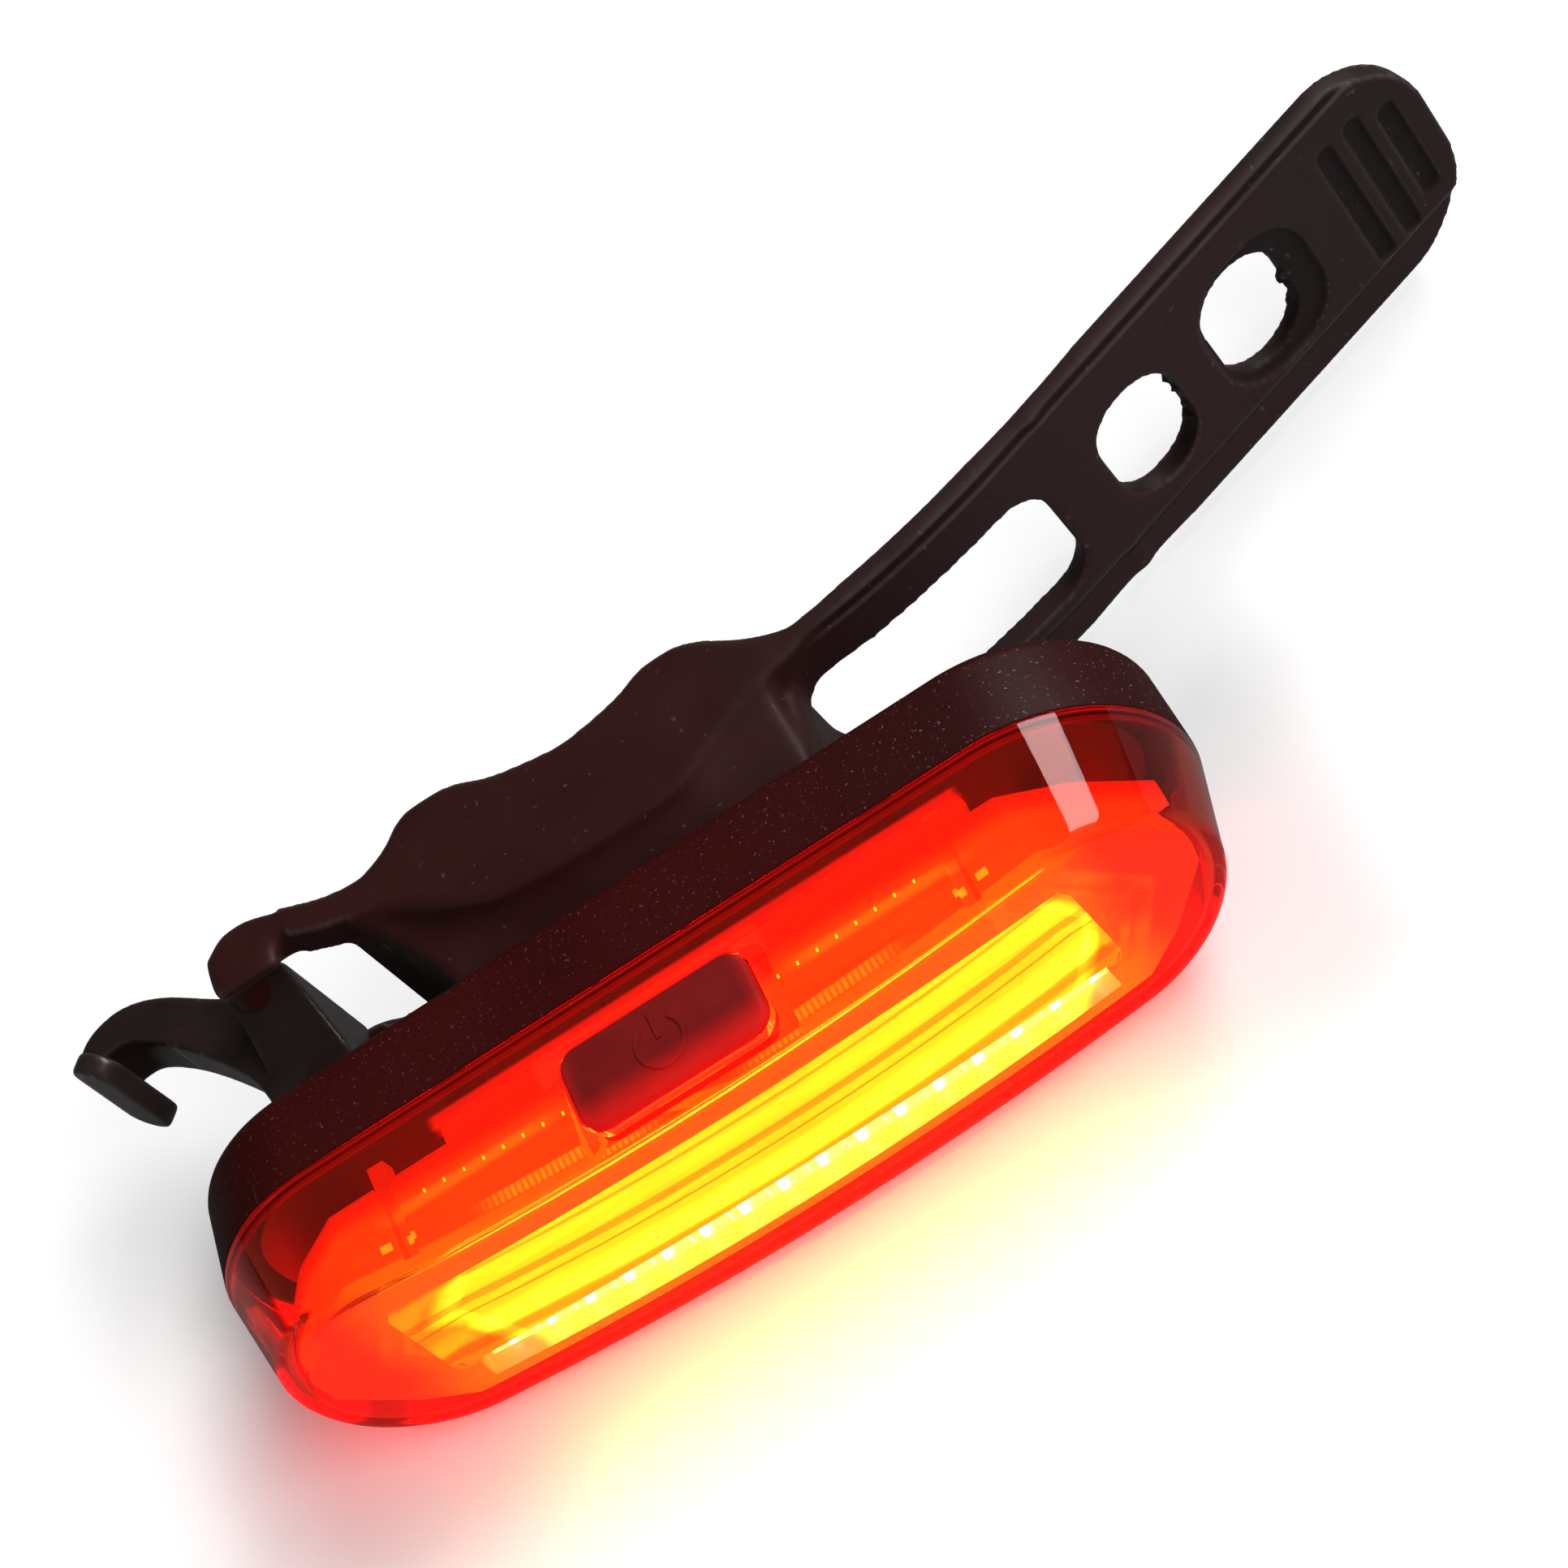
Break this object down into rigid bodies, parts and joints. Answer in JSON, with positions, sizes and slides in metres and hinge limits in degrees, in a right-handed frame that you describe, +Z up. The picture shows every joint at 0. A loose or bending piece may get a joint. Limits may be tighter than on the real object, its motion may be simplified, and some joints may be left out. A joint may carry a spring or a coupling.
{
  "type": "bicycle rear light",
  "caption": "Slim bicycle rear light with a long red lens, a row of LEDs, a top power button and a rubber seat-post strap with a hook and a holed tail.",
  "frame": {"origin": "deepest point of the strap saddle's hollow, where the seat post touches it, at half the strap's width", "axes": "+Z up along the seat post, the side with the power button; -Y the way the light shines; +X to the strap's free end"},
  "size_m": [0.1139, 0.0452, 0.023],
  "materials": {
    "housing_plastic": "fine sparkle texture",
    "lens_plastic": "clear red, polished",
    "strap_rubber": "satin silicone",
    "hook_plastic": "semi gloss",
    "button_rubber": "satin, translucent red",
    "reflector_plastic": "glossy white",
    "led_package": "clear resin over phosphor",
    "strip_board": "white solder mask",
    "circuit_board": "green solder mask",
    "chip_plastic": "moulded epoxy",
    "component_ceramic": "ceramic",
    "socket_steel": "tin plated",
    "screw_steel": "zinc plated",
    "pin_brass": "tinned",
    "cell_foil": "satin foil",
    "pad_foam": "foam tape",
    "lead_pvc": "PVC",
    "seal_rubber": "silicone",
    "plunger_plastic": "nylon"
  },
  "bodies": {
    "light_body": {"rear_housing": "housing_plastic", "lens": "lens_plastic", "rim_seal": "seal_rubber", "reflector": "reflector_plastic", "led_strip": "strip_board", "led_chips": "led_package", "tact_switch": "chip_plastic", "switch_board": "circuit_board", "switch_pins": "pin_brass", "main_pcb": "circuit_board", "board_screws": "screw_steel", "control_chip": "chip_plastic", "charge_chip": "chip_plastic", "small_components": "component_ceramic", "usb_socket": "socket_steel", "battery": "cell_foil", "battery_pad": "pad_foam", "battery_leads": "lead_pvc", "strap_saddle": "strap_rubber", "strap_hook": "hook_plastic"},
    "button": {"power_button": "button_rubber"},
    "plunger": {"switch_plunger": "plunger_plastic"},
    "port_cover": {"usb_cover": "strap_rubber"},
    "tail_root": {"strap_tail_root": "strap_rubber"},
    "tail_end": {"strap_tail_end": "strap_rubber"}
  },
  "joints": [
    {"name": "button_press", "type": "slide", "parent": "light_body", "child": "button", "axis": [0, 0.1422, -0.9898], "range_m": [0, 0.00045], "stiffness_N_per_m": 3000},
    {"name": "plunger_press", "type": "slide", "parent": "light_body", "child": "plunger", "axis": [0, 0.1422, -0.9898], "range_m": [0, 0.00045]},
    {"name": "cover_swing", "type": "hinge", "parent": "light_body", "child": "port_cover", "pos_m": [0.01385, -0.0166, -0.01115], "axis": [0, 1, 0], "range_deg": [0, 110]},
    {"name": "strap_bend", "type": "hinge", "parent": "light_body", "child": "tail_root", "pos_m": [0.0183, -0.0031, 0], "axis": [0, 0, 1], "range_deg": [-15, 70], "stiffness_Nm_per_rad": 0.02},
    {"name": "strap_wrap", "type": "hinge", "parent": "tail_root", "child": "tail_end", "pos_m": [0.0387, 0.00193, 0], "axis": [0, 0, 1], "range_deg": [-20, 75], "stiffness_Nm_per_rad": 0.01}
  ],
  "couplings": [
    {"joint": "plunger_press", "follows": "button_press", "ratio": 1}
  ]
}
